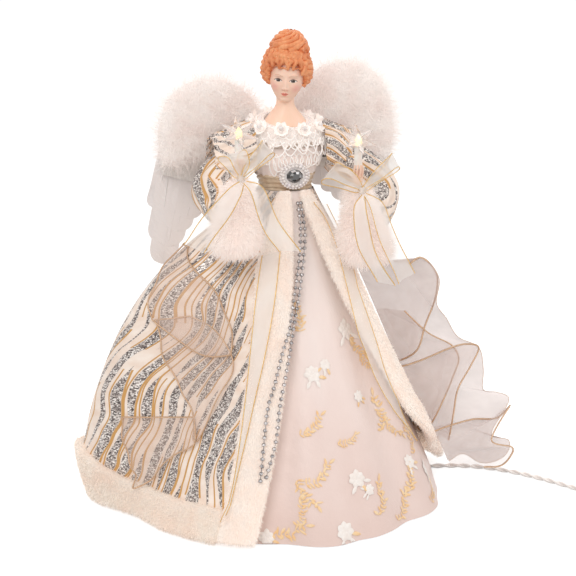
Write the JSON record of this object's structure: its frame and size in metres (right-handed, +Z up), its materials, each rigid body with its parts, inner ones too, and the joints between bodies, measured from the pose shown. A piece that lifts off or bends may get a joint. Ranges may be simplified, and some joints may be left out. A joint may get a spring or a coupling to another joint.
{
  "type": "angel tree topper",
  "caption": "Lighted angel tree topper: a doll on a hollow cone in a satin skirt and open brocade coat with plush trim, feather wings, star lamps in wired arms, and a lead with a fused plug.",
  "frame": {"origin": "on the floor, at the bottom centre of the figure's box without its lead", "axes": "+Z up, -Y to the figure's front, +X to the viewer's right from the front"},
  "size_m": [0.5643, 0.3147, 0.4056],
  "materials": {
    "porcelain": "painted resin, satin",
    "hair": "painted resin, satin",
    "satin": "satin under embroidered sheer",
    "brocade": "woven stripes of silver glitter, gold cord and white satin",
    "plush": "short white plush",
    "organza": "sheer, with a gold wired edge",
    "lace": "white lace",
    "gold_sash": "gold satin",
    "pearl": "pearl",
    "stone": "faceted, foil backed",
    "silver_bead": "silver plated",
    "feather": "marabou and goose feathers",
    "card": "white card",
    "stuffing": "stuffed white cloth",
    "white_plastic": "white moulded",
    "clear_plastic": "clear moulded",
    "lamp_lens": "warm white lens",
    "wire": "plain wire",
    "cord_pvc": "white insulation",
    "brass": "plain"
  },
  "bodies": {
    "figure": {"cone_base": "white_plastic", "skirt_lamp_1": "lamp_lens", "skirt_lamp_2": "lamp_lens", "skirt_lamp_3": "lamp_lens", "skirt_lamp_4": "lamp_lens", "skirt_lamp_5": "lamp_lens", "skirt_lamp_6": "lamp_lens", "skirt_lamp_7": "lamp_lens", "skirt_lamp_8": "lamp_lens", "wire_harness": "cord_pvc", "torso_core": "stuffing", "head_bust": "porcelain", "hair_updo": "hair", "bodice": "satin", "waist_sash": "gold_sash", "lace_collar": "lace", "brooch_frame": "pearl", "brooch_stone": "stone", "underskirt": "satin", "bead_garland": "silver_bead", "coat_left": "brocade", "coat_back": "brocade", "coat_right": "brocade", "hem_fur_left": "plush", "hem_fur_back": "plush", "hem_fur_right": "plush", "front_fur_left": "plush", "front_fur_right": "plush", "drape_left": "organza", "drape_right": "organza", "cord_lead": "cord_pvc", "cord_coil": "cord_pvc", "plug_body": "white_plastic", "plug_blade_1": "brass", "plug_blade_2": "brass"},
    "arm_left": {"arm_wire_left": "wire", "cuff_left": "plush", "sleeve_left": "brocade", "hand_left": "porcelain", "candle_left": "white_plastic", "lamp_lens_left": "lamp_lens", "star_left": "clear_plastic", "bow_left": "organza", "streamers_left": "organza"},
    "arm_right": {"arm_wire_right": "wire", "cuff_right": "plush", "sleeve_right": "brocade", "hand_right": "porcelain", "candle_right": "white_plastic", "lamp_lens_right": "lamp_lens", "star_right": "clear_plastic", "bow_right": "organza", "streamers_right": "organza"},
    "wing_left": {"wing_card_left": "card", "wing_plumes_left": "feather", "wing_marabou_left": "feather"},
    "wing_right": {"wing_card_right": "card", "wing_plumes_right": "feather", "wing_marabou_right": "feather"},
    "fuse_door": {"fuse_door": "white_plastic"}
  },
  "joints": [
    {"name": "arm_left_raise", "type": "hinge", "parent": "figure", "child": "arm_left", "pos_m": [-0.0311, 0.002, 0.2953], "axis": [-1, 0, 0], "range_deg": [0, 20]},
    {"name": "arm_right_raise", "type": "hinge", "parent": "figure", "child": "arm_right", "pos_m": [0.0311, 0.002, 0.2953], "axis": [-1, 0, 0], "range_deg": [0, 20]},
    {"name": "wing_left_fold", "type": "hinge", "parent": "figure", "child": "wing_left", "pos_m": [-0.007, 0.0243, 0.2906], "axis": [0, 0, -1], "range_deg": [0, 25]},
    {"name": "wing_right_fold", "type": "hinge", "parent": "figure", "child": "wing_right", "pos_m": [0.007, 0.0243, 0.2906], "axis": [0, 0, 1], "range_deg": [0, 25]},
    {"name": "fuse_door_slide", "type": "slide", "parent": "figure", "child": "fuse_door", "axis": [0.9202, 0.3914, 0], "range_m": [0, 0.006]}
  ]
}
